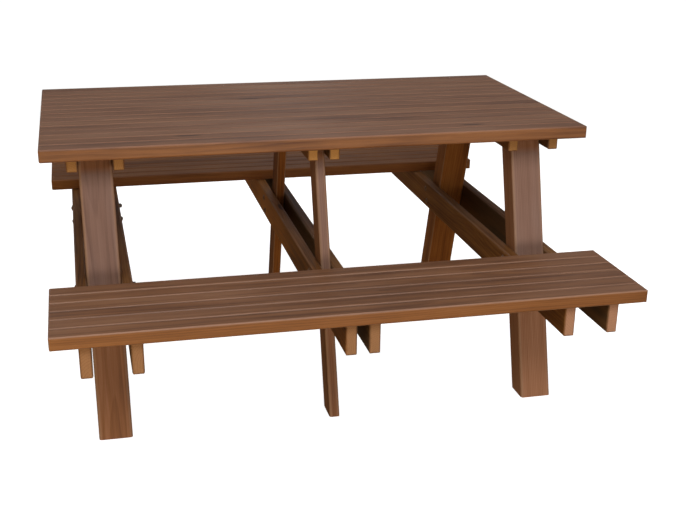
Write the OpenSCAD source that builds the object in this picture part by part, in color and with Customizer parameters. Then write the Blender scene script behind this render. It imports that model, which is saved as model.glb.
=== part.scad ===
// Picnic table with a bench along each side, on three A-shaped frames.
// X runs along the boards, Y across the table, Z up. The floor is Z = 0, and the origin lies on it
// under the middle of the table top. The front is -Y.

/* [Table top and benches] */
// Length of the table top and of both benches
board_l = 1500; // [1300:10:1800]
// Height of the table top's upper face
table_h = 780; // [720:5:820]
// Height of the benches' upper faces
bench_h = 450; // [420:5:480]
// Depth over both benches, from one outer edge to the other
overall_d = 1691; // [1600:1:1850]
// Slats in the table top
table_slats = 15; // [13:1:17]
// Slats in each bench
bench_slats = 6; // [5:1:7]

/* [Slats] */
// Width of a slat
slat_w = 53; // [48:0.5:58]
// Thickness of a slat
slat_t = 35; // [28:1:42]
// Open joint between two slats
slat_gap = 1.5; // [0.5:0.5:4]
// Radius of a slat's eased edges
slat_arris = 5; // [2:0.5:7]

/* [Legs] */
// Width of a leg in an end frame, along the table
end_leg_w = 90; // [70:1:110]
// Width of a leg in the middle frame, along the table
middle_leg_w = 30; // [26:1:60]
// Depth of every leg, square to its length
leg_d = 75; // [65:1:90]
// Distance from the middle plane to a leg's outer face at the floor
foot_y = 520; // [480:5:560]
// Distance from the middle plane to a leg's outer face under the table top
leg_top_y = 295; // [260:5:320]

/* [Battens and bearers] */
// Thickness of the battens and bearers, along the table
rail_t = 30; // [25:1:40]
// Height of a batten under the table top
batten_h = 40; // [36:1:60]
// Distance of a batten's ends from the table top's long edges
batten_setback = 44; // [20:1:45]
// Height of a bench bearer
bearer_h = 88; // [76:1:110]
// Distance of a bearer's ends from the benches' outer edges
bearer_setback = 23; // [10:1:40]
// Distance of the end frames from the ends of the boards
end_overhang = 65; // [40:5:150]
// Radius of the eased edges of legs, battens and bearers
frame_arris = 7; // [2:0.5:8]

/* [Bolts] */
// Diameter of the coach bolts
bolt_d = 8; // [6:1:10]
// Difference between a hole's diameter and its bolt's
bolt_clearance = 1; // [0.5:0.1:2]
// Bolt end left past its nut
bolt_end = 2; // [1:0.5:6]
// Height of a bearer's upper and lower bolts above and below the middle of the bearer
bolt_rise = 20; // [14:1:24]
// Distance of the same bolts to either side of the middle of the leg
bolt_side = 15; // [10:1:18]

/* [Hidden] */
$fn = 48;

// Fasteners, in the usual proportions to the bolt's diameter
head_d = 2.5 * bolt_d;
head_h = 0.6 * bolt_d;
neck_h = 0.55 * bolt_d;
washer_d = 2.1 * bolt_d;
washer_t = 0.2 * bolt_d;
nut_across = 1.625 * bolt_d;
nut_t = 0.85 * bolt_d;
hole_d = bolt_d + bolt_clearance;

// Table top and benches
slat_pitch = slat_w + slat_gap;
table_depth = table_slats * slat_pitch - slat_gap;
bench_depth = bench_slats * slat_pitch - slat_gap;
bench_out = overall_d / 2;
bench_in = bench_out - bench_depth;

// Rails stand directly under the slats that they carry
leg_h = table_h - slat_t;
batten_z = leg_h - batten_h;
batten_l = table_depth - 2 * batten_setback;
bearer_z = bench_h - slat_t - bearer_h;
bearer_l = 2 * (bench_out - bearer_setback);

// A leg leans by the splay, and its level cut at the floor is longer than its depth
splay = atan((foot_y - leg_top_y) / leg_h);
foot_l = leg_d / cos(splay);
foot_centre_y = foot_y - foot_l / 2;

// Frames from left to right: name, place along the table and width of the legs
end_frame_x = board_l / 2 - end_overhang - rail_t - end_leg_w / 2;
FRAMES = [
    ["left", -end_frame_x, end_leg_w],
    ["middle", 0, middle_leg_w],
    ["right", end_frame_x, end_leg_w],
];
SIDES = [["front", -1], ["rear", 1]];
PAIR = [["left", -1], ["right", 1]];

TABLE_SLATS = [for (i = [1:table_slats]) str("table_slat_", i)];
FRONT_SLATS = [for (i = [1:bench_slats]) str("front_bench_slat_", i)];
REAR_SLATS = [for (i = [1:bench_slats]) str("rear_bench_slat_", i)];
LEGS = [for (frame = FRAMES, side = SIDES) str(frame[0], "_", side[0], "_leg")];
BATTENS = [for (frame = FRAMES, which = PAIR) str(frame[0], "_frame_", which[0], "_batten")];
BEARERS = [for (frame = FRAMES, which = PAIR) str(frame[0], "_frame_", which[0], "_bearer")];
FASTENERS = ["long_coach_bolts", "short_coach_bolts", "washers", "nuts"];

SLAT_COLOR = [0.44, 0.31, 0.24];
LEG_COLOR = [0.47, 0.34, 0.28];
RAIL_COLOR = [0.52, 0.37, 0.22];
STEEL_COLOR = [0.62, 0.62, 0.60];

// Distance from the middle plane to the middle of a leg at height z
function leg_y(z) = foot_centre_y - z * tan(splay);

// Heights and distances of the bolts at each crossing of a leg with its rails
batten_bolts = [for (z = [batten_z + batten_h / 2]) [leg_y(z), z]];
bearer_bolts = [for (s = [-1, 1], z = [bearer_z + bearer_h / 2 + s * bolt_rise])
    [leg_y(z) + s * bolt_side, z]];
leg_bolts = concat(batten_bolts, bearer_bolts);

// A rectangle round the origin with round corners
module eased_rectangle(width, height, radius) {
    square([width, height - 2 * radius], center = true);
    square([width - 2 * radius, height], center = true);
    for (x = [-1, 1], y = [-1, 1])
        translate([x * (width / 2 - radius), y * (height / 2 - radius)])
            circle(radius);
}

// A sawn board with every edge eased, its middle at the origin
module eased_board(length, depth, height, radius) {
    intersection() {
        rotate([90, 0, 90])
            linear_extrude(length, center = true)
                eased_rectangle(depth, height, radius);
        rotate([90, 0, 0])
            linear_extrude(depth, center = true)
                eased_rectangle(length, height, radius);
        linear_extrude(height, center = true)
            eased_rectangle(length, depth, radius);
    }
}

// A slat with its long near edge at y and its upper face at z
module slat(y, z) {
    color(SLAT_COLOR)
        translate([0, y + slat_w / 2, z - slat_t / 2])
            eased_board(board_l, slat_w, slat_t, slat_arris);
}

// Slats are counted from the front
module table_slat(i) {
    slat(-table_depth / 2 + i * slat_pitch, table_h);
}

module front_bench_slat(i) {
    slat(-bench_out + i * slat_pitch, bench_h);
}

module rear_bench_slat(i) {
    slat(bench_in + i * slat_pitch, bench_h);
}

// Holes along X at the given distances and heights, on both sides of the middle plane
module bolt_holes(places, length) {
    for (side = [-1, 1], place = places)
        translate([0, side * place[0], place[1]])
            rotate([0, 90, 0])
                cylinder(d = hole_d, h = length, center = true);
}

// Square pockets that hold the necks of the bolts in the outer face of a left rail
module neck_pockets(places) {
    for (side = [-1, 1], place = places)
        translate([-rail_t / 2, side * place[0], place[1]])
            cube([2 * neck_h, hole_d, hole_d], center = true);
}

// A leg of the given width leans towards the middle plane and is cut level at both ends
module leg(width, side) {
    overrun = leg_d;
    color(LEG_COLOR)
        difference() {
            intersection() {
                scale([1, side, 1])
                    translate([0, foot_centre_y, 0])
                        rotate([splay, 0, 0])
                            translate([0, 0, -overrun])
                                linear_extrude(leg_h / cos(splay) + 2 * overrun)
                                    eased_rectangle(width, leg_d, frame_arris);
                translate([0, 0, leg_h / 2])
                    cube([2 * width, 4 * foot_y, leg_h], center = true);
            }
            bolt_holes(leg_bolts, 2 * width);
        }
}

// A rail on one side of a frame's legs: a batten under the table top or a bench bearer
module rail(length, height, z, places, which) {
    color(RAIL_COLOR)
        difference() {
            translate([0, 0, z + height / 2])
                eased_board(rail_t, length, height, frame_arris);
            bolt_holes(places, 2 * rail_t);
            if (which < 0)
                neck_pockets(places);
        }
}

// Places a rail against the legs of its frame
module beside_leg(frame, which) {
    translate([frame[1] + which * (frame[2] + rail_t) / 2, 0, 0])
        children();
}

// Repeats a fastener at every bolt of a frame, with x = 0 at the outer face of the left rail
module at_bolts(frame) {
    for (side = [-1, 1], place = leg_bolts)
        translate([frame[1] - frame[2] / 2 - rail_t, side * place[0], place[1]])
            children();
}

// A coach bolt: domed head on the rail, square neck in its pocket, round shank through to the nut
module coach_bolt(grip) {
    dome_r = (head_d * head_d / 4 + head_h * head_h) / (2 * head_h);
    rotate([0, -90, 0])
        intersection() {
            translate([0, 0, head_h - dome_r])
                sphere(dome_r, $fn = 96);
            cylinder(d = head_d, h = head_h);
        }
    translate([0, -bolt_d / 2, -bolt_d / 2])
        cube([neck_h, bolt_d, bolt_d]);
    rotate([0, 90, 0])
        cylinder(d = bolt_d, h = grip + washer_t + nut_t + bolt_end);
}

module coach_bolts(frames) {
    color(STEEL_COLOR)
        for (frame = frames)
            at_bolts(frame)
                coach_bolt(frame[2] + 2 * rail_t);
}

module washers() {
    color(STEEL_COLOR)
        for (frame = FRAMES)
            at_bolts(frame)
                translate([frame[2] + 2 * rail_t, 0, 0])
                    rotate([0, 90, 0])
                        difference() {
                            cylinder(d = washer_d, h = washer_t);
                            translate([0, 0, -washer_t])
                                cylinder(d = hole_d, h = 3 * washer_t);
                        }
}

module nuts() {
    thread_clearance = 0.2;
    color(STEEL_COLOR)
        for (frame = FRAMES)
            at_bolts(frame)
                translate([frame[2] + 2 * rail_t + washer_t, 0, 0])
                    rotate([0, 90, 0])
                        difference() {
                            cylinder(d = nut_across / cos(30), h = nut_t, $fn = 6);
                            translate([0, 0, -nut_t])
                                cylinder(d = bolt_d + thread_clearance, h = 3 * nut_t);
                        }
}

for (i = [0:table_slats - 1])
    table_slat(i);
for (i = [0:bench_slats - 1]) {
    front_bench_slat(i);
    rear_bench_slat(i);
}
for (f = [0:2], s = [0:1]) {
    translate([FRAMES[f][1], 0, 0]) leg(FRAMES[f][2], SIDES[s][1]);
    beside_leg(FRAMES[f], PAIR[s][1]) rail(batten_l, batten_h, batten_z, batten_bolts, PAIR[s][1]);
    beside_leg(FRAMES[f], PAIR[s][1]) rail(bearer_l, bearer_h, bearer_z, bearer_bolts, PAIR[s][1]);
}
coach_bolts([FRAMES[0], FRAMES[2]]);  // long_coach_bolts
coach_bolts([FRAMES[1]]);  // short_coach_bolts
washers();
nuts();
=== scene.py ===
"""Picnic table with benches: materials, screws, floor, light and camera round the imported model.

Everything is in metres in the model's own frame: X along the boards, Y across the table, Z up.
"""

import math
import random

import bmesh
import bpy
from mathutils import Euler, Matrix, Vector


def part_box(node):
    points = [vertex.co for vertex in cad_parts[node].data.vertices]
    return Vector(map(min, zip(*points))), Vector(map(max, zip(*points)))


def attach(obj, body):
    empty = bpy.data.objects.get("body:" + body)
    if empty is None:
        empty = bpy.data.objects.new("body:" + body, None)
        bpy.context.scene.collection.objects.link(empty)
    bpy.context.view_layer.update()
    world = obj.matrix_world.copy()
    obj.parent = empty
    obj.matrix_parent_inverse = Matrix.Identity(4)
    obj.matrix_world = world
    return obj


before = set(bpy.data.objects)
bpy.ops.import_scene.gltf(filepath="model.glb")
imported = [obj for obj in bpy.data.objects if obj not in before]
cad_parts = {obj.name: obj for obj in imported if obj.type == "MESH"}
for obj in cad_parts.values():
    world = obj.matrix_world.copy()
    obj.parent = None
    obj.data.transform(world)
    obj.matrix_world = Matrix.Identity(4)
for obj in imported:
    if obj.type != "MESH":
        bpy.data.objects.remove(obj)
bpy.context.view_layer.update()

LEG_DEPTH = 0.075
LEG_SPLAY = math.radians(16.8)
BENCH_HEIGHT = 0.45
TABLE_UNDERSIDE = 0.745
ALONG_X = Euler((0, 0, 0))
ALONG_Y = Euler((0, 0, math.pi / 2))
FIRST_SEED = 1000


def linear(red, green, blue):
    """A colour given as 0 to 255 on screen, as the light values that shaders use."""
    def channel(value):
        value /= 255
        return value / 12.92 if value <= 0.04045 else ((value + 0.055) / 1.055) ** 2.4

    return (channel(red), channel(green), channel(blue), 1.0)


# Colours of the stained wood. The outer face of each board is weathered, and that grey is partly a
# painted sheen of the sky; cut ends are paler. wear_and_highlight is the colour of the eased edges,
# which are paler partly from rubbed wear and partly as a painted highlight where they catch the light,
# wear_and_highlight_share is how far they take it, and rim is how far that reaches in from them, in
# metres. contrast is how strong the grain is, knots is the chance that a board shows them, tone is how
# far boards differ, and gloss is their sheen. painted_shade_spot is where along X the outer faces are
# darker with painted shade, how far that reaches, in metres, and by how much. painted_light is how
# much paler a rail is painted towards the rear, a painted pool of light.
TABLE_LOOK = {
    "deep": linear(92, 50, 18),
    "body": linear(138, 87, 42),
    "pale": linear(156, 104, 58),
    "weathered_and_sheen_deep": linear(88, 59, 42),
    "weathered_and_sheen_body": linear(127, 89, 64),
    "weathered_and_sheen_pale": linear(148, 110, 82),
    "end": linear(132, 88, 50),
    "wear_and_highlight": linear(162, 116, 94),
    "wear_and_highlight_share": 0.27,
    "rim": 0.0020,
    "contrast": 1.0,
    "knots": 0.12,
    "tone": 0.08,
    "gloss": 0.45,
}
FRONT_BENCH_LOOK = TABLE_LOOK | {
    "body": linear(136, 84, 36),
    "weathered_and_sheen_deep": linear(80, 54, 40),
    "wear_and_highlight": linear(168, 130, 106),
    "wear_and_highlight_share": 0.56,
    "rim": 0.0028,
    "contrast": 0.85,
    "tone": 0.06,
    "painted_shade_spot": (0.08, 0.60, 0.20),
}
# The rear bench is a darker copy of the table's wood: painted shade from the table top.
SHADED_REAR_BENCH_LOOK = TABLE_LOOK | {
    "weathered_and_sheen_body": linear(118, 80, 52),
    "weathered_and_sheen_pale": linear(136, 96, 66),
    "contrast": 0.85,
    "tone": 0.06,
    "gloss": 0.12,
}
FRONT_LEG_LOOK = {
    "deep": linear(84, 44, 17),
    "body": linear(134, 84, 43),
    "pale": linear(170, 120, 86),
    "weathered_and_sheen_deep": linear(94, 70, 60),
    "weathered_and_sheen_body": linear(126, 99, 88),
    "weathered_and_sheen_pale": linear(144, 117, 104),
    "end": linear(140, 98, 62),
    "wear_and_highlight": linear(166, 130, 102),
    "wear_and_highlight_share": 0.70,
    "rim": 0.008,
    "contrast": 0.75,
    "knots": 0.0,
    "tone": 0.04,
    "gloss": 0.22,
}
REAR_LEG_LOOK = FRONT_LEG_LOOK | {
    "deep": linear(80, 40, 12),
    "body": linear(130, 76, 28),
    "pale": linear(162, 104, 46),
    "contrast": 1.1,
}
RAIL_LOOK = {
    "deep": linear(62, 34, 14),
    "body": linear(124, 78, 33),
    "pale": linear(162, 114, 60),
    "weathered_and_sheen_deep": linear(76, 48, 30),
    "weathered_and_sheen_body": linear(118, 80, 48),
    "weathered_and_sheen_pale": linear(144, 106, 70),
    "end": linear(160, 117, 80),
    "wear_and_highlight": linear(160, 122, 94),
    "wear_and_highlight_share": 0.40,
    "rim": 0.003,
    "contrast": 1.0,
    "knots": 0.8,
    "tone": 0.06,
    "gloss": 0.12,
}
BATTEN_LOOK = RAIL_LOOK | {"end": linear(174, 126, 74)}
# A rail painted paler towards the rear: a painted pool of light.
PAINTED_LIGHT_RAIL_LOOK = RAIL_LOOK | {"pale": linear(176, 112, 46), "painted_light": 0.45}

# Rails whose ends are painted paler, painted light on ends that lie in shade, and the colour of those
# ends
PAINTED_LIGHT_ENDS = {
    ("middle", "batten"): linear(200, 146, 82),
    ("right", "bearer"): linear(180, 134, 104),
}

# weather_and_sheen is how far the outer face has turned to the weathered colours, which are partly real
# weathering and partly a painted sheen of the sky. grime is how dark the rear edge of each slat is made
# at the joints between slats, partly dirt and partly painted shade, and shift makes the whole board
# paler or darker
SLAT_WEAR = {
    "table": {"look": TABLE_LOOK, "weather_and_sheen": 0.90, "grime": 0.70, "shift": -0.015},
    "front_bench": {"look": FRONT_BENCH_LOOK, "weather_and_sheen": 0.75, "grime": 0.45, "shift": -0.02},
    # The rear bench is darker and less grey: painted shade from the table top.
    "rear_bench": {"look": SHADED_REAR_BENCH_LOOK, "weather_and_sheen": 0.36, "grime": 0.30, "shift": -0.10},
}
LEG_WEAR = {
    "left_front_leg": {"look": FRONT_LEG_LOOK, "weather_and_sheen": 0.95, "shift": 0.02},
    "left_rear_leg": {"look": REAR_LEG_LOOK, "weather_and_sheen": 0.95, "shift": 0.0},
    "middle_front_leg": {"look": FRONT_LEG_LOOK, "weather_and_sheen": 0.75, "shift": 0.0},
    "middle_rear_leg": {"look": REAR_LEG_LOOK, "weather_and_sheen": 0.95, "shift": -0.12},
    "right_front_leg": {"look": FRONT_LEG_LOOK, "weather_and_sheen": 0.95, "shift": 0.22},
    "right_rear_leg": {"look": REAR_LEG_LOOK, "weather_and_sheen": 0.95, "shift": 0.03},
}
RAIL_WEATHER_AND_SHEEN = 0.5
RAIL_SHIFT = -0.03
PAINTED_LIGHT_RAIL = "middle_frame_left_bearer"
PAINTED_LIGHT_RAIL_SHIFT = -0.05
# Heights between which a leg is weathered. Below the first the bench shelters it, and the plain
# colour there is partly painted shade of the bench. Above the second the table top shelters it, and a
# painted shade under the table top darkens it.
LEG_SHELTER_AND_SHADE = (BENCH_HEIGHT - 0.11, TABLE_UNDERSIDE - 0.045)
# How far below and above the lower height the weathering fades, how far below and above the upper
# one the painted shade under the table top sets in, and how dark that painted shade is
SHELTER_FADE = 0.06
ROOF_STARTS = 0.018
ROOF_FULL = 0.006
PAINTED_ROOF_SHADE = 0.20
# How far a face in a narrow gap is laid towards a grey-brown colour: partly dust, partly painted shade
DUST_AND_SHADE_SHARE = 0.45
# Where the rail with painted light gets paler, a painted pool of light, from its middle towards the
# rear, in metres
PAINTED_LIGHT_SPAN = (-0.22, 0.16)

KNOT_COLOUR = linear(48, 28, 16)
# Colour of the rear edges of slats at the joints: partly dirt, partly painted shade.
DIRT_AND_SHADE_COLOUR = linear(52, 32, 20)
# Colour of faces in narrow gaps: partly dust, partly painted shade.
DUST_AND_SHADE_COLOUR = linear(96, 84, 62)
DARK_STAIN = linear(86, 62, 42)
WOOD_STAIN = linear(128, 90, 56)

# How often each noise repeats per metre along, across and through a board
WANDER_STRETCH = (1.1, 5.0, 5.0)
WAVER_STRETCH = (9.0, 60.0, 60.0)
STREAK_STRETCH = (1.5, 70.0, 70.0)
FIBRE_STRETCH = (14.0, 420.0, 420.0)
CLOUD_STRETCH = (2.2, 11.0, 11.0)
PORE_STRETCH = (60.0, 500.0, 500.0)
KNOT_STRETCH = (1.3, 7.0, 0.0)

# How far the heart of the tree wanders along a board, how far a ring wavers and how far it bends
# round a knot, in metres
WANDER = 0.030
WAVER = 0.0016
KNOT_BEND = 0.012

# How far from a knot's middle the rings still bend and where its dark fades out, in widths of the
# cells that hold one knot each, and how dark it is
KNOT_REACH = 0.28
KNOT_FADES = (0.030, 0.060)
KNOT_DARK = 0.7

# The parts of a ring's width, from 0 to 1, over which its latewood darkens and then ends
LATEWOOD_DARKENS = (0.30, 0.86)
LATEWOOD_ENDS = (0.90, 1.0)

# The least and the most of what differs from board to board, in metres and radians
TEXTURE_OFFSET = (-40, 40)
HEART_DISTANCE = (0.035, 0.11)
HEART_ANGLE = (0.25, 2.9)
RING_WIDTH = (0.0036, 0.0060)

# The paleness of plain wood, how much latewood darkens it and how much the noises change it. The
# colours of a look lie at the last three numbers on this scale.
MEAN_PALENESS = 0.55
LATEWOOD_DARK = 0.13
STREAK_SHARE = 0.75
FIBRE_SHARE = 0.40
CLOUD_SHARE = 0.90
DEEP_AT = 0.12
BODY_AT = 0.50
PALE_AT = 0.95

# The same for cut ends
END_PALENESS = 0.70
END_LATEWOOD_DARK = 0.10
PORE_SHARE = 0.5
CRACK_DARK = 0.30
END_DEEP_AT = 0.05
END_PALE_AT = 0.70
# How often the cracks' noise repeats per radian round the heart and per metre away from it, and the
# values of it between which a crack begins to show and is full
CRACKS_ROUND = 9.0
CRACKS_AWAY = 14.0
CRACKED = (0.72, 0.76)

# Roughness of plain wood, and what fibres and cut ends add to it
WOOD_ROUGHNESS = 0.42
FIBRE_ROUGHNESS = 0.16
CUT_ROUGHNESS = 0.25

# The relief's depth in metres, and how much each layer has of it
RELIEF_DEPTH = 0.0006
LATEWOOD_RELIEF = 0.35
FIBRE_RELIEF = 0.8
STREAK_RELIEF = 0.5


class Shader:
    """A material's node tree, with short calls for the nodes that the looks here are made from."""

    def __init__(self, name):
        self.material = bpy.data.materials.new(name)
        self.material.use_nodes = True
        self.tree = self.material.node_tree
        self.surface = self.tree.nodes["Principled BSDF"]

    def node(self, kind, settings=None, **inputs):
        """A new node. Inputs are named with underscores for spaces, and take values or sockets."""
        made = self.tree.nodes.new(kind)
        for key, value in (settings or {}).items():
            setattr(made, key, value)
        for key, value in inputs.items():
            self.feed(made.inputs[key.replace("_", " ")], value)
        return made

    def feed(self, socket, value):
        """Gives a socket a value, or links it to another socket."""
        if isinstance(value, bpy.types.NodeSocket):
            self.tree.links.new(value, socket)
        else:
            socket.default_value = value

    def math(self, operation, first, second=0.0):
        made = self.tree.nodes.new("ShaderNodeMath")
        made.operation = operation
        self.feed(made.inputs[0], first)
        self.feed(made.inputs[1], second)
        return made.outputs[0]

    def scaled(self, value, factor, start):
        """value times factor, plus start."""
        made = self.math("MULTIPLY_ADD", value, factor)
        made.node.inputs[2].default_value = start
        return made

    def vector(self, operation, first, second=(0, 0, 0), output="Vector"):
        made = self.tree.nodes.new("ShaderNodeVectorMath")
        made.operation = operation
        self.feed(made.inputs[0], first)
        self.feed(made.inputs[1], second)
        return made.outputs[output]

    def split(self, vector):
        """The X, Y and Z of a vector, as the outputs of a node."""
        return self.node("ShaderNodeSeparateXYZ", Vector=vector).outputs

    def noise(self, place, stretch, detail=2.0, roughness=0.55, output="Fac"):
        """Noise drawn out along the board. stretch is how often it repeats per metre on each axis."""
        stretched = self.vector("MULTIPLY", place, stretch)
        made = self.node("ShaderNodeTexNoise", Vector=stretched, Scale=1.0, Detail=detail,
                         Roughness=roughness)
        return made.outputs[output]

    def span(self, value, low, high, start=0.0, end=1.0):
        """Maps low..high to start..end with soft ends."""
        made = self.node("ShaderNodeMapRange", {"interpolation_type": "SMOOTHSTEP"}, Value=value,
                         From_Min=low, From_Max=high, To_Min=start, To_Max=end)
        return made.outputs["Result"]

    def mix(self, share, first, second):
        """share of the second colour laid over the first."""
        made = self.tree.nodes.new("ShaderNodeMix")
        made.data_type = "RGBA"
        self.feed(made.inputs[0], share)
        self.feed(made.inputs[6], first)
        self.feed(made.inputs[7], second)
        return made.outputs[2]

    def ramp(self, value, stops):
        """Colours along a scale. stops are pairs of a position and a colour."""
        made = self.tree.nodes.new("ShaderNodeValToRGB")
        points = made.color_ramp.elements
        while len(points) < len(stops):
            points.new(0.5)
        for point, (position, colour) in zip(points, stops):
            point.position = position
            point.color = colour
        self.feed(made.inputs[0], value)
        return made.outputs["Color"]


class Wood(Shader):
    """Stained softwood. A board's length is its own X axis and its outer face looks along its own Z."""

    def __init__(self, name, board, look, chance):
        """board is the centre, turn, half width and half thickness. chance gives the random draws."""
        super().__init__(name)
        centre, turn, self.half_width, self.half_depth = board
        self.look = look
        coordinates = self.node("ShaderNodeTexCoord")
        self.model_place = coordinates.outputs["Object"]
        self.own_place = self.node("ShaderNodeMapping", {"vector_type": "TEXTURE"},
                                   Vector=self.model_place, Location=centre,
                                   Rotation=turn).outputs["Vector"]
        own_normal = self.node("ShaderNodeMapping", {"vector_type": "TEXTURE"},
                               Vector=coordinates.outputs["Normal"], Rotation=turn).outputs["Vector"]
        self.facing = self.split(own_normal)
        self.along = self.split(self.vector("ABSOLUTE", own_normal))
        self.offset = tuple(chance.uniform(*TEXTURE_OFFSET) for _ in range(3))
        self.place = self.vector("ADD", self.own_place, self.offset)
        self.draw_rings(chance)
        self.streak = self.noise(self.place, STREAK_STRETCH, detail=3.0, roughness=0.6)
        self.fibre = self.noise(self.place, FIBRE_STRETCH, roughness=0.65)
        self.cloud = self.noise(self.place, CLOUD_STRETCH)
        self.tone = chance.uniform(-look["tone"], look["tone"])

    def draw_rings(self, chance):
        """Growth rings: distance from the heart of the tree, which wanders along the board."""
        wander = self.noise(self.place, WANDER_STRETCH, detail=1.0, output="Color")
        wander = self.vector("SUBTRACT", wander, (0.5, 0.5, 0.5))
        wander = self.vector("MULTIPLY", wander, (0.0, WANDER, WANDER))
        distance = chance.uniform(*HEART_DISTANCE)
        angle = chance.uniform(*HEART_ANGLE) * chance.choice((-1, 1))
        heart = (0.0, distance * math.cos(angle), distance * math.sin(angle))
        section = self.vector("MULTIPLY", self.own_place, (0.0, 1.0, 1.0))
        self.section = self.vector("ADD", self.vector("SUBTRACT", section, heart), wander)
        radius = self.vector("LENGTH", self.section, output="Value")

        # The rings bend round a knot, and the knot itself is dark
        self.in_knot = 0.0
        if chance.random() < self.look["knots"]:
            knot_place = self.vector("MULTIPLY", self.place, KNOT_STRETCH)
            knots = self.node("ShaderNodeTexVoronoi", {"voronoi_dimensions": "2D"},
                              Vector=knot_place, Scale=1.0)
            from_knot = knots.outputs["Distance"]
            self.in_knot = self.span(from_knot, *KNOT_FADES, KNOT_DARK, 0.0)
            bend = self.span(from_knot, 0.0, KNOT_REACH, KNOT_BEND, 0.0)
            radius = self.math("ADD", radius, bend)

        ring_width = chance.uniform(*RING_WIDTH)
        waver = self.noise(self.place, WAVER_STRETCH, detail=1.0)
        self.radius = self.math("ADD", radius, self.math("MULTIPLY", waver, WAVER))
        ring = self.math("FRACT", self.math("DIVIDE", self.radius, ring_width))
        darkening = self.span(ring, *LATEWOOD_DARKENS)
        ending = self.span(ring, *LATEWOOD_ENDS, 1.0, 0.0)
        self.latewood = self.math("MULTIPLY", darkening, ending)

    def paleness(self, shift):
        """How pale the grain is at each spot."""
        value = self.scaled(self.latewood, -LATEWOOD_DARK, MEAN_PALENESS + shift + self.tone)
        layers = (self.streak, STREAK_SHARE), (self.fibre, FIBRE_SHARE), (self.cloud, CLOUD_SHARE)
        for layer, share in layers:
            centred = self.math("SUBTRACT", layer, 0.5)
            change = self.math("MULTIPLY", centred, share * self.look["contrast"])
            value = self.math("ADD", value, change)
        # Painted light: the paleness rises towards the rear of the rail.
        if "painted_light" in self.look:
            to_rear = self.split(self.own_place)["X"]
            painted_light = self.span(to_rear, *PAINTED_LIGHT_SPAN, 0.0, self.look["painted_light"])
            value = self.math("ADD", value, painted_light)
        return value

    def paint_faces(self, weather_and_sheen, shift, shelter_and_shade, inner):
        """The colour of faces: the weathered colours outside, which are partly a painted sheen of the
        sky, the stained ones on the other sides, with painted shade and painted light where they are
        asked for.
        """
        look = self.look
        value = self.paleness(shift)
        face = self.ramp(value, [(DEEP_AT, look["deep"]), (BODY_AT, look["body"]),
                                 (PALE_AT, look["pale"])])
        # Painted shade: the outer faces are darker round one spot along X.
        if "painted_shade_spot" in look:
            spot, reach, amount = look["painted_shade_spot"]
            from_spot = self.math("SUBTRACT", self.split(self.model_place)["X"], spot)
            painted_shade = self.span(self.math("ABSOLUTE", from_spot), 0.0, reach, amount, 0.0)
            value = self.math("SUBTRACT", value, painted_shade)
        weathered_and_sheen = self.ramp(value, [(DEEP_AT, look["weathered_and_sheen_deep"]),
                                      (BODY_AT, look["weathered_and_sheen_body"]),
                                      (PALE_AT, look["weathered_and_sheen_pale"])])

        # The outer face takes the weathered colours: partly real weathering, partly a painted sheen of
        # the sky.
        weathered_and_sheen_share = self.span(self.facing["Z"], 0.10, 0.90, 0.0, weather_and_sheen)
        weathered_and_sheen_share = self.math("MULTIPLY", weathered_and_sheen_share, self.span(self.cloud, 0.30, 0.70, 0.75, 1.0))
        if shelter_and_shade is not None:
            low, high = shelter_and_shade
            height = self.split(self.model_place)["Z"]
            above_bench = self.span(height, low - SHELTER_FADE, low + SHELTER_FADE)
            roof_shade = self.span(height, high - ROOF_STARTS, high + ROOF_FULL)
            weathered_and_sheen_share = self.math("MULTIPLY", weathered_and_sheen_share, above_bench)
            weathered_and_sheen_share = self.math("MULTIPLY", weathered_and_sheen_share, self.math("SUBTRACT", 1.0, roof_shade))
            # Painted shade: the leg is darkened towards its deep colour just under the table top.
            face = self.mix(self.math("MULTIPLY", roof_shade, PAINTED_ROOF_SHADE), face, look["deep"])
        colour = self.mix(weathered_and_sheen_share, face, weathered_and_sheen)
        colour = self.mix(self.in_knot, colour, KNOT_COLOUR)
        # Dust and painted shade: faces looking into a narrow gap are laid towards a grey-brown colour.
        if inner:
            inward = self.math("MULTIPLY", self.facing["Y"], inner)
            dust_and_shade = self.span(inward, 0.3, 0.9, 0.0, DUST_AND_SHADE_SHARE)
            colour = self.mix(dust_and_shade, colour, DUST_AND_SHADE_COLOUR)
        return colour

    def wear_and_highlight_edges(self, colour, grime):
        """Eased edges are paler than the faces, partly rubbed wear and partly a painted highlight where
        they catch the light. With grime, the rear edge is darkened instead, partly dirt and partly
        painted shade.
        """
        look = self.look
        off_middle = self.split(self.vector("ABSOLUTE", self.own_place))
        from_side = self.math("SUBTRACT", self.half_width, off_middle["Y"])
        from_face = self.math("SUBTRACT", self.half_depth, off_middle["Z"])
        from_edge = self.math("MAXIMUM", from_side, from_face)
        rim = self.span(from_edge, 0.4 * look["rim"], 1.3 * look["rim"], 1.0, 0.0)
        rim = self.math("MULTIPLY", rim, self.span(self.facing["Z"], 0.3, 0.8))

        # Where the surface is turned away from all three axes it is rounded
        most = self.math("MAXIMUM", self.along["Y"], self.along["Z"])
        most = self.math("MAXIMUM", most, self.along["X"])
        eased = self.math("MAXIMUM", self.span(most, 0.80, 0.985, 1.0, 0.0), rim)
        # Wear and painted highlight: rounded edges and a thin rim of the outer face are laid towards a
        # paler colour.
        wear_and_highlight = self.span(self.streak, 0.2, 0.7, 0.6 * look["wear_and_highlight_share"], look["wear_and_highlight_share"])
        wear_and_highlight = self.math("MULTIPLY", eased, wear_and_highlight)
        if grime is not None:
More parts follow.
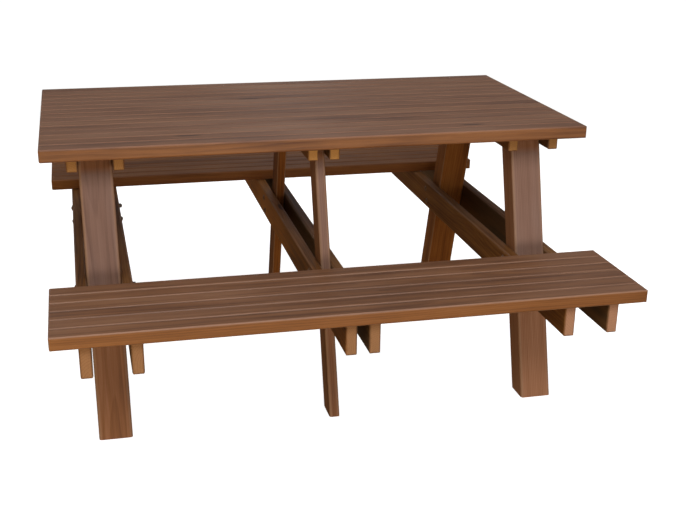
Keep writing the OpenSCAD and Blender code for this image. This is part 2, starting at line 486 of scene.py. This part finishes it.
            # Dirt and painted shade: the rear edge of each slat, turned away from the front light, is
            # darkened and not paled.
            rear_half = self.span(self.split(self.own_place)["Y"], -0.002, 0.002)
            off_ends = self.span(self.along["X"], 0.02, 0.15, 1.0, 0.0)
            shaded_rear_edge = self.math("MULTIPLY", rear_half, off_ends)
            wear_and_highlight = self.math("MULTIPLY", wear_and_highlight, self.math("SUBTRACT", 1.0, shaded_rear_edge))
            dirt_and_shade = self.span(self.cloud, 0.25, 0.75, 0.7 * grime, 1.2 * grime)
            dirt_and_shade = self.math("MULTIPLY", eased, dirt_and_shade)
            colour = self.mix(self.math("MULTIPLY", dirt_and_shade, shaded_rear_edge), colour, DIRT_AND_SHADE_COLOUR)
        return self.mix(wear_and_highlight, colour, look["wear_and_highlight"])

    def cut_ends(self, colour):
        """Cut ends: paler, with rings across them and fine cracks from the heart."""
        pores = self.noise(self.place, PORE_STRETCH)
        from_heart = self.split(self.section)
        bearing = self.math("ARCTAN2", from_heart["Y"], from_heart["Z"])
        crack_place = self.node("ShaderNodeCombineXYZ",
                                X=self.math("MULTIPLY", bearing, CRACKS_ROUND),
                                Y=self.math("MULTIPLY", self.radius, CRACKS_AWAY),
                                Z=self.offset[0])
        cracks = self.node("ShaderNodeTexNoise", Vector=crack_place.outputs["Vector"], Scale=1.0,
                           Detail=1.0)
        cracked = self.span(cracks.outputs["Fac"], *CRACKED)
        value = self.scaled(self.latewood, -END_LATEWOOD_DARK, END_PALENESS)
        pores = self.math("MULTIPLY", self.math("SUBTRACT", pores, 0.5), PORE_SHARE)
        value = self.math("ADD", value, pores)
        value = self.math("SUBTRACT", value, self.math("MULTIPLY", cracked, CRACK_DARK))
        end_colour = self.ramp(value, [(END_DEEP_AT, self.look["deep"]),
                                       (END_PALE_AT, self.look["end"])])
        self.cut = self.span(self.along["X"], 0.70, 0.92)
        return self.mix(self.cut, colour, end_colour)

    def finish(self, colour):
        """Sets the colour, and the sheen and fine relief that go with it."""
        self.feed(self.surface.inputs["Base Color"], colour)
        self.surface.inputs["Specular IOR Level"].default_value = self.look["gloss"]
        rough = self.scaled(self.fibre, FIBRE_ROUGHNESS, WOOD_ROUGHNESS)
        rough = self.math("ADD", rough, self.math("MULTIPLY", self.cut, CUT_ROUGHNESS))
        self.feed(self.surface.inputs["Roughness"], rough)
        height = self.math("MULTIPLY", self.latewood, LATEWOOD_RELIEF)
        height = self.math("ADD", height, self.math("MULTIPLY", self.fibre, FIBRE_RELIEF))
        height = self.math("ADD", height, self.math("MULTIPLY", self.streak, STREAK_RELIEF))
        bump = self.node("ShaderNodeBump", Strength=0.4, Distance=RELIEF_DEPTH, Height=height)
        self.feed(self.surface.inputs["Normal"], bump.outputs["Normal"])


def wood(name, board, chance, look, weather_and_sheen, shift, grime=None, shelter_and_shade=None, inner=0):
    """The material of one board.

    weather_and_sheen is how weathered its outer face is, which is partly a painted sheen of the sky,
    and shift makes the whole board darker or paler. Where grime is given, only the front edge is paled,
    as wear and a painted highlight, and the rear edge is darkened by that much, partly with dirt and
    partly as painted shade.
    shelter_and_shade is two heights: below the first and above the second the board is not weathered,
    and above the second it is darker too, painted shade under the table top. Below the first the plain
    colour is partly painted shade of the bench. inner is the sign of the own Y direction of a face that
    looks into a narrow gap and is laid towards a grey-brown colour there, partly dust and partly
    painted shade, or 0.
    """
    shader = Wood(name, board, look, chance)
    colour = shader.paint_faces(weather_and_sheen, shift, shelter_and_shade, inner)
    colour = shader.wear_and_highlight_edges(colour, grime)
    colour = shader.cut_ends(colour)
    shader.finish(colour)
    return shader.material


def zinc(name, grain, dark, stained=0.0, stain=DARK_STAIN):
    """Galvanised steel with a dull spangle and a little grime.

    grain is how often the spangle repeats per metre, dark makes the steel darker, and stained is how
    much wood stain covers it.
    """
    shader = Shader(name)
    place = shader.node("ShaderNodeTexCoord").outputs["Object"]
    spangle = shader.noise(place, (grain, grain, grain))
    grime = shader.noise(place, (60.0, 60.0, 60.0), detail=3.0)
    colour = shader.ramp(spangle, [(0.3, linear(120 - dark, 118 - dark, 114 - dark)),
                                   (0.7, linear(178 - dark, 176 - dark, 172 - dark))])
    covered = shader.span(grime, 0.55, 0.75, stained, 0.35 + 0.65 * stained)
    colour = shader.mix(covered, colour, stain)
    shader.feed(shader.surface.inputs["Base Color"], colour)
    shader.feed(shader.surface.inputs["Roughness"], shader.span(spangle, 0.2, 0.8, 0.34, 0.52))
    shader.surface.inputs["Metallic"].default_value = 0.9 - 0.85 * stained
    bump = shader.node("ShaderNodeBump", Strength=0.2, Distance=0.0002, Height=spangle)
    shader.feed(shader.surface.inputs["Normal"], bump.outputs["Normal"])
    return shader.material


def middle(node):
    low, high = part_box(node)
    return (low + high) / 2


def dress(node, material):
    """Puts a material on all of a CAD node."""
    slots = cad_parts[node].material_slots
    if not slots:
        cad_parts[node].data.materials.append(material)
    for slot in slots:
        slot.material = material


def level_board(node, turn):
    """Centre, turn, half width and half thickness of a board that lies level."""
    low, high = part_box(node)
    half = (high - low) / 2
    return middle(node), turn, half.x if turn is ALONG_Y else half.y, half.z


def leaning_board(node):
    """The same for a leg: its X axis runs up the leg and its Z axis looks out of the table."""
    low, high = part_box(node)
    level_cut = LEG_DEPTH / math.cos(LEG_SPLAY)
    lean = math.atan((high.y - low.y - level_cut) / (high.z - low.z))
    side = math.copysign(1, low.y + high.y)
    length = Vector((0, -side * math.sin(lean), math.cos(lean)))
    outward = Vector((0, side * math.cos(lean), math.sin(lean)))
    turn = Matrix((length, outward.cross(length), outward)).transposed().to_euler()
    return middle(node), turn, (high.x - low.x) / 2, LEG_DEPTH / 2


def rail_wood(node, chance):
    """The material of a batten or bearer, whose name is FRAME_frame_SIDE_KIND."""
    which, _, side, kind = node.split("_")
    look = BATTEN_LOOK if kind == "batten" else RAIL_LOOK
    shift = RAIL_SHIFT
    # Painted light: these ends are given a paler colour.
    if (which, kind) in PAINTED_LIGHT_ENDS:
        look = look | {"end": PAINTED_LIGHT_ENDS[which, kind]}
    # This bearer gets the look with painted light towards its rear.
    if node == PAINTED_LIGHT_RAIL:
        look = PAINTED_LIGHT_RAIL_LOOK
        shift = PAINTED_LIGHT_RAIL_SHIFT
    gap_side = -1 if side == "left" else 1
    return wood(node, level_board(node, ALONG_Y), chance, look, RAIL_WEATHER_AND_SHEEN, shift, inner=gap_side)


for number, node in enumerate(sorted(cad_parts)):
    chance = random.Random(FIRST_SEED + number)
    if "slat" in node:
        wear = SLAT_WEAR[node.split("_slat")[0]]
        dress(node, wood(node, level_board(node, ALONG_X), chance, **wear))
    elif node.endswith("leg"):
        dress(node, wood(node, leaning_board(node), chance, shelter_and_shade=LEG_SHELTER_AND_SHADE,
                         **LEG_WEAR[node]))
    elif node.endswith(("batten", "bearer")):
        dress(node, rail_wood(node, chance))

bolt_steel = zinc("bolt_steel", grain=700.0, dark=20, stained=0.80, stain=WOOD_STAIN)
nut_steel = zinc("nut_steel", grain=500.0, dark=34, stained=0.35)
dress("long_coach_bolts", bolt_steel)
dress("short_coach_bolts", bolt_steel)
dress("washers", nut_steel)
dress("nuts", nut_steel)

HEAD_CORNERS = 24
# The head's outline from its rim in: shares of its radius and of its rise
HEAD_PROFILE = ((1.0, 0.0), (1.0, 0.25), (0.86, 0.72), (0.56, 1.0))
# The socket's mouth and floor in the same shares, with lobes round them
SOCKET_PROFILE = ((0.40, 1.0), (0.40, 0.15))
SOCKET_LOBES = 6
LOBE_DEPTH = 0.06
SHARP_ANGLE = math.radians(35)
SCREW_RISE = 0.0007
BATTEN_SCREW_RADIUS = 0.0045
BEARER_SCREW_RADIUS = 0.0060
# How far inside the rail's end the outermost screws start, and how far those of the battens lean
BATTEN_SCREW_FROM_END = 0.018
BEARER_SCREW_FROM_END = 0.012
BATTEN_SCREW_LEAN = math.radians(24)


def screw_head(mesh, place, tilt, radius):
    """A low domed screw head with a six-lobed socket, looking down, added to a bmesh."""
    turn = Matrix.Translation(place) @ Matrix.Rotation(tilt, 4, "X")
    angles = [2 * math.pi * corner / HEAD_CORNERS for corner in range(HEAD_CORNERS)]

    def ring(share, height, lobe_depth):
        """A ring of corners. lobe_depth is how far lobes come in, as a share of the radius."""
        corners = []
        for angle in angles:
            reach = radius * (share - lobe_depth * math.cos(SOCKET_LOBES * angle))
            spot = Vector((reach * math.cos(angle), reach * math.sin(angle), -SCREW_RISE * height))
            corners.append(mesh.verts.new(turn @ spot))
        return corners

    rings = [ring(share, height, 0.0) for share, height in HEAD_PROFILE]
    rings += [ring(share, height, LOBE_DEPTH) for share, height in SOCKET_PROFILE]
    for outer, inner in zip(rings, rings[1:]):
        for corner in range(HEAD_CORNERS):
            following = (corner + 1) % HEAD_CORNERS
            mesh.faces.new((outer[corner], inner[corner], inner[following], outer[following]))
    mesh.faces.new(rings[-1])
    mesh.faces.new(list(reversed(rings[0])))


def add_screws(name, places, radius):
    """One piece with a screw head at each place, given with its tilt."""
    mesh = bmesh.new()
    for place, tilt in places:
        screw_head(mesh, place, tilt, radius)
    bmesh.ops.recalc_face_normals(mesh, faces=mesh.faces)
    data = bpy.data.meshes.new(name)
    mesh.to_mesh(data)
    mesh.free()
    data.shade_smooth()
    data.set_sharp_from_angle(angle=SHARP_ANGLE)
    piece = bpy.data.objects.new(name, data)
    bpy.context.scene.collection.objects.link(piece)
    data.materials.append(zinc(name + "_steel", grain=900.0, dark=24))
    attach(piece, "root")


def slat_centres(prefix):
    return [middle(node).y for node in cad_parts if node.startswith(prefix + "_slat")]


def rail_screws(kind, centres, from_end, tilt):
    """One screw up into each slat. One past the rail's end starts from_end inside it and leans out."""
    places = []
    for which in ("left", "middle", "right"):
        for side in ("left", "right"):
            low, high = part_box(f"{which}_frame_{side}_{kind}")
            for y in centres:
                reach = high.y - from_end
                leaning = abs(y) > reach
                held = math.copysign(min(abs(y), reach), y)
                angle = math.copysign(tilt, y) if leaning else 0.0
                places.append((Vector(((low.x + high.x) / 2, held, low.z)), angle))
    return places


bench_centres = slat_centres("front_bench") + slat_centres("rear_bench")
add_screws("batten_screws",
           rail_screws("batten", slat_centres("table"), BATTEN_SCREW_FROM_END, BATTEN_SCREW_LEAN),
           BATTEN_SCREW_RADIUS)
add_screws("bearer_screws",
           rail_screws("bearer", bench_centres, BEARER_SCREW_FROM_END, 0.0),
           BEARER_SCREW_RADIUS)

STAGE_RADIUS = 60.0
FLOOR_GAP = 0.0003
# The stage changes from its near look to its far look between these distances from the middle
NEAR_STAGE = 1.2
FAR_STAGE = 4.0
FAR_GLOW = 1.02


def add_stage(name, mesh, grey, glow, casts):
    """A plain pale surface that the camera sees and that gives the furniture no light.

    Round the furniture it is grey and glows by glow. From four metres out it is black and glows by
    FAR_GLOW, so that no light shows on it there. casts says whether it stops light.
    """
    data = bpy.data.meshes.new(name)
    mesh.to_mesh(data)
    mesh.free()
    surface = bpy.data.objects.new(name, data)
    bpy.context.scene.collection.objects.link(surface)
    shader = Shader(name + "_plaster")
    shader.surface.inputs["Base Color"].default_value = (0, 0, 0, 1)
    shader.surface.inputs["Roughness"].default_value = 0.95
    shader.surface.inputs["Specular IOR Level"].default_value = 0.0
    shader.surface.inputs["Emission Color"].default_value = (1, 1, 1, 1)
    place = shader.node("ShaderNodeTexCoord").outputs["Object"]
    flat_place = shader.vector("MULTIPLY", place, (1, 1, 0))
    from_middle = shader.vector("LENGTH", flat_place, output="Value")
    glowing = shader.span(from_middle, NEAR_STAGE, FAR_STAGE, glow, FAR_GLOW)
    shader.feed(shader.surface.inputs["Emission Strength"], glowing)
    if grey:
        greyness = shader.span(from_middle, NEAR_STAGE, FAR_STAGE, grey, 0.0)
        shader.feed(shader.surface.inputs["Base Color"], greyness)
    data.materials.append(shader.material)
    surface.visible_diffuse = False
    surface.visible_glossy = False
    surface.visible_shadow = casts


def make_stage():
    """A floor just under the feet and a dome far outside, so that every view ends in one pale tone."""
    floor = bmesh.new()
    bmesh.ops.create_circle(floor, cap_ends=True, segments=96, radius=STAGE_RADIUS,
                            matrix=Matrix.Translation((0, 0, -FLOOR_GAP)))
    add_stage("floor", floor, grey=0.80, glow=0.88, casts=True)
    dome = bmesh.new()
    bmesh.ops.create_uvsphere(dome, u_segments=64, v_segments=32, radius=STAGE_RADIUS)
    add_stage("backdrop", dome, grey=0.0, glow=1.0, casts=False)


def make_light(name, place, target, size, power, colour, glints=True):
    """A soft area light in watts. glints says whether it is reflected in glossy surfaces."""
    data = bpy.data.lights.new(name, "AREA")
    data.shape = "RECTANGLE"
    data.size, data.size_y = size
    data.energy = power
    data.color = colour
    light = bpy.data.objects.new(name, data)
    light.location = place
    light.rotation_euler = (Vector(target) - Vector(place)).to_track_quat("-Z", "Y").to_euler()
    light.visible_camera = False
    light.visible_glossy = glints
    bpy.context.scene.collection.objects.link(light)


def make_world():
    """Dim surroundings: a warm floor below, and pale light above that is strongest behind the table."""
    below = (0.13, 0.085, 0.05, 1)
    front_sky = (0.14, 0.145, 0.16, 1)
    rear_sky = (0.21, 0.215, 0.23, 1)
    world = bpy.data.worlds.new("studio")
    world.use_nodes = True
    bpy.context.scene.world = world
    tree = world.node_tree

    def node(kind, **values):
        made = tree.nodes.new(kind)
        for key, value in values.items():
            made.inputs[key.replace("_", " ")].default_value = value
        return made

    direction = node("ShaderNodeTexCoord").outputs["Generated"]
    split = node("ShaderNodeSeparateXYZ")
    tree.links.new(direction, split.inputs[0])
    height = node("ShaderNodeMapRange", From_Min=-0.08, From_Max=0.12)
    tree.links.new(split.outputs["Z"], height.inputs["Value"])
    behind = node("ShaderNodeMapRange", From_Min=-0.2, From_Max=0.9)
    tree.links.new(split.outputs["Y"], behind.inputs["Value"])
    sky = node("ShaderNodeMix")
    sky.data_type = "RGBA"
    tree.links.new(behind.outputs["Result"], sky.inputs[0])
    sky.inputs[6].default_value = front_sky
    sky.inputs[7].default_value = rear_sky
    whole = node("ShaderNodeMix")
    whole.data_type = "RGBA"
    tree.links.new(height.outputs["Result"], whole.inputs[0])
    whole.inputs[6].default_value = below
    tree.links.new(sky.outputs[2], whole.inputs[7])
    tree.links.new(whole.outputs[2], tree.nodes["Background"].inputs["Color"])


def make_camera():
    """The photograph's view: where it was taken from, its direction in radians, and the lens."""
    place = (-0.64047, -3.24175, 1.46421)
    yaw, pitch, roll = 0.23857, 0.38379, -0.01184
    picture_width = 687
    focal_length_in_pixels = 1105.34
    centre_offset_in_pixels = 50
    sensor_width = 36.0

    forward = Vector((math.sin(yaw) * math.cos(pitch), math.cos(yaw) * math.cos(pitch),
                      -math.sin(pitch)))
    right = Vector((math.cos(yaw), -math.sin(yaw), 0))
    down = forward.cross(right)
    turned_right = right * math.cos(roll) + down * math.sin(roll)
    turned_down = down * math.cos(roll) - right * math.sin(roll)
    data = bpy.data.cameras.new("camera")
    data.sensor_fit = "HORIZONTAL"
    data.sensor_width = sensor_width
    data.lens = focal_length_in_pixels * sensor_width / picture_width
    data.shift_y = centre_offset_in_pixels / picture_width
    camera = bpy.data.objects.new("camera", data)
    turn = Matrix((turned_right, -turned_down, -forward)).transposed().to_4x4()
    camera.matrix_world = Matrix.Translation(place) @ turn
    bpy.context.scene.collection.objects.link(camera)
    bpy.context.scene.camera = camera


COOL = (0.98, 0.98, 1.0)
WARM = (1.0, 0.94, 0.88)

make_stage()
make_world()
make_light("overhead", (0.0, 0.2, 3.3), (0, 0.2, 0.5), (4.0, 3.0), 31, COOL)
make_light("key", (-0.2, -3.8, 3.8), (0, -0.2, 0.6), (4.5, 1.8), 118, COOL)
make_light("floor_glow", (-1.5, -2.4, 0.02), (-1.1, -2.0, 2.0), (4.6, 2.6), 31, (1.0, 0.76, 0.38))
make_light("low_front", (0.9, -6.4, 0.9), (0.1, 0, 0.4), (4.6, 1.2), 122, (1.0, 0.93, 0.88))
make_light("rear_fill", (0.2, 4.8, 0.7), (0, 0, 0.4), (5.0, 1.2), 130, WARM, glints=False)
make_light("window", (1.1, 6.0, 2.1), (0, 0.2, 0.78), (0.9, 0.7), 2.5, (0.9, 0.96, 1.0))
make_camera()
bpy.context.scene.view_settings.view_transform = "Standard"
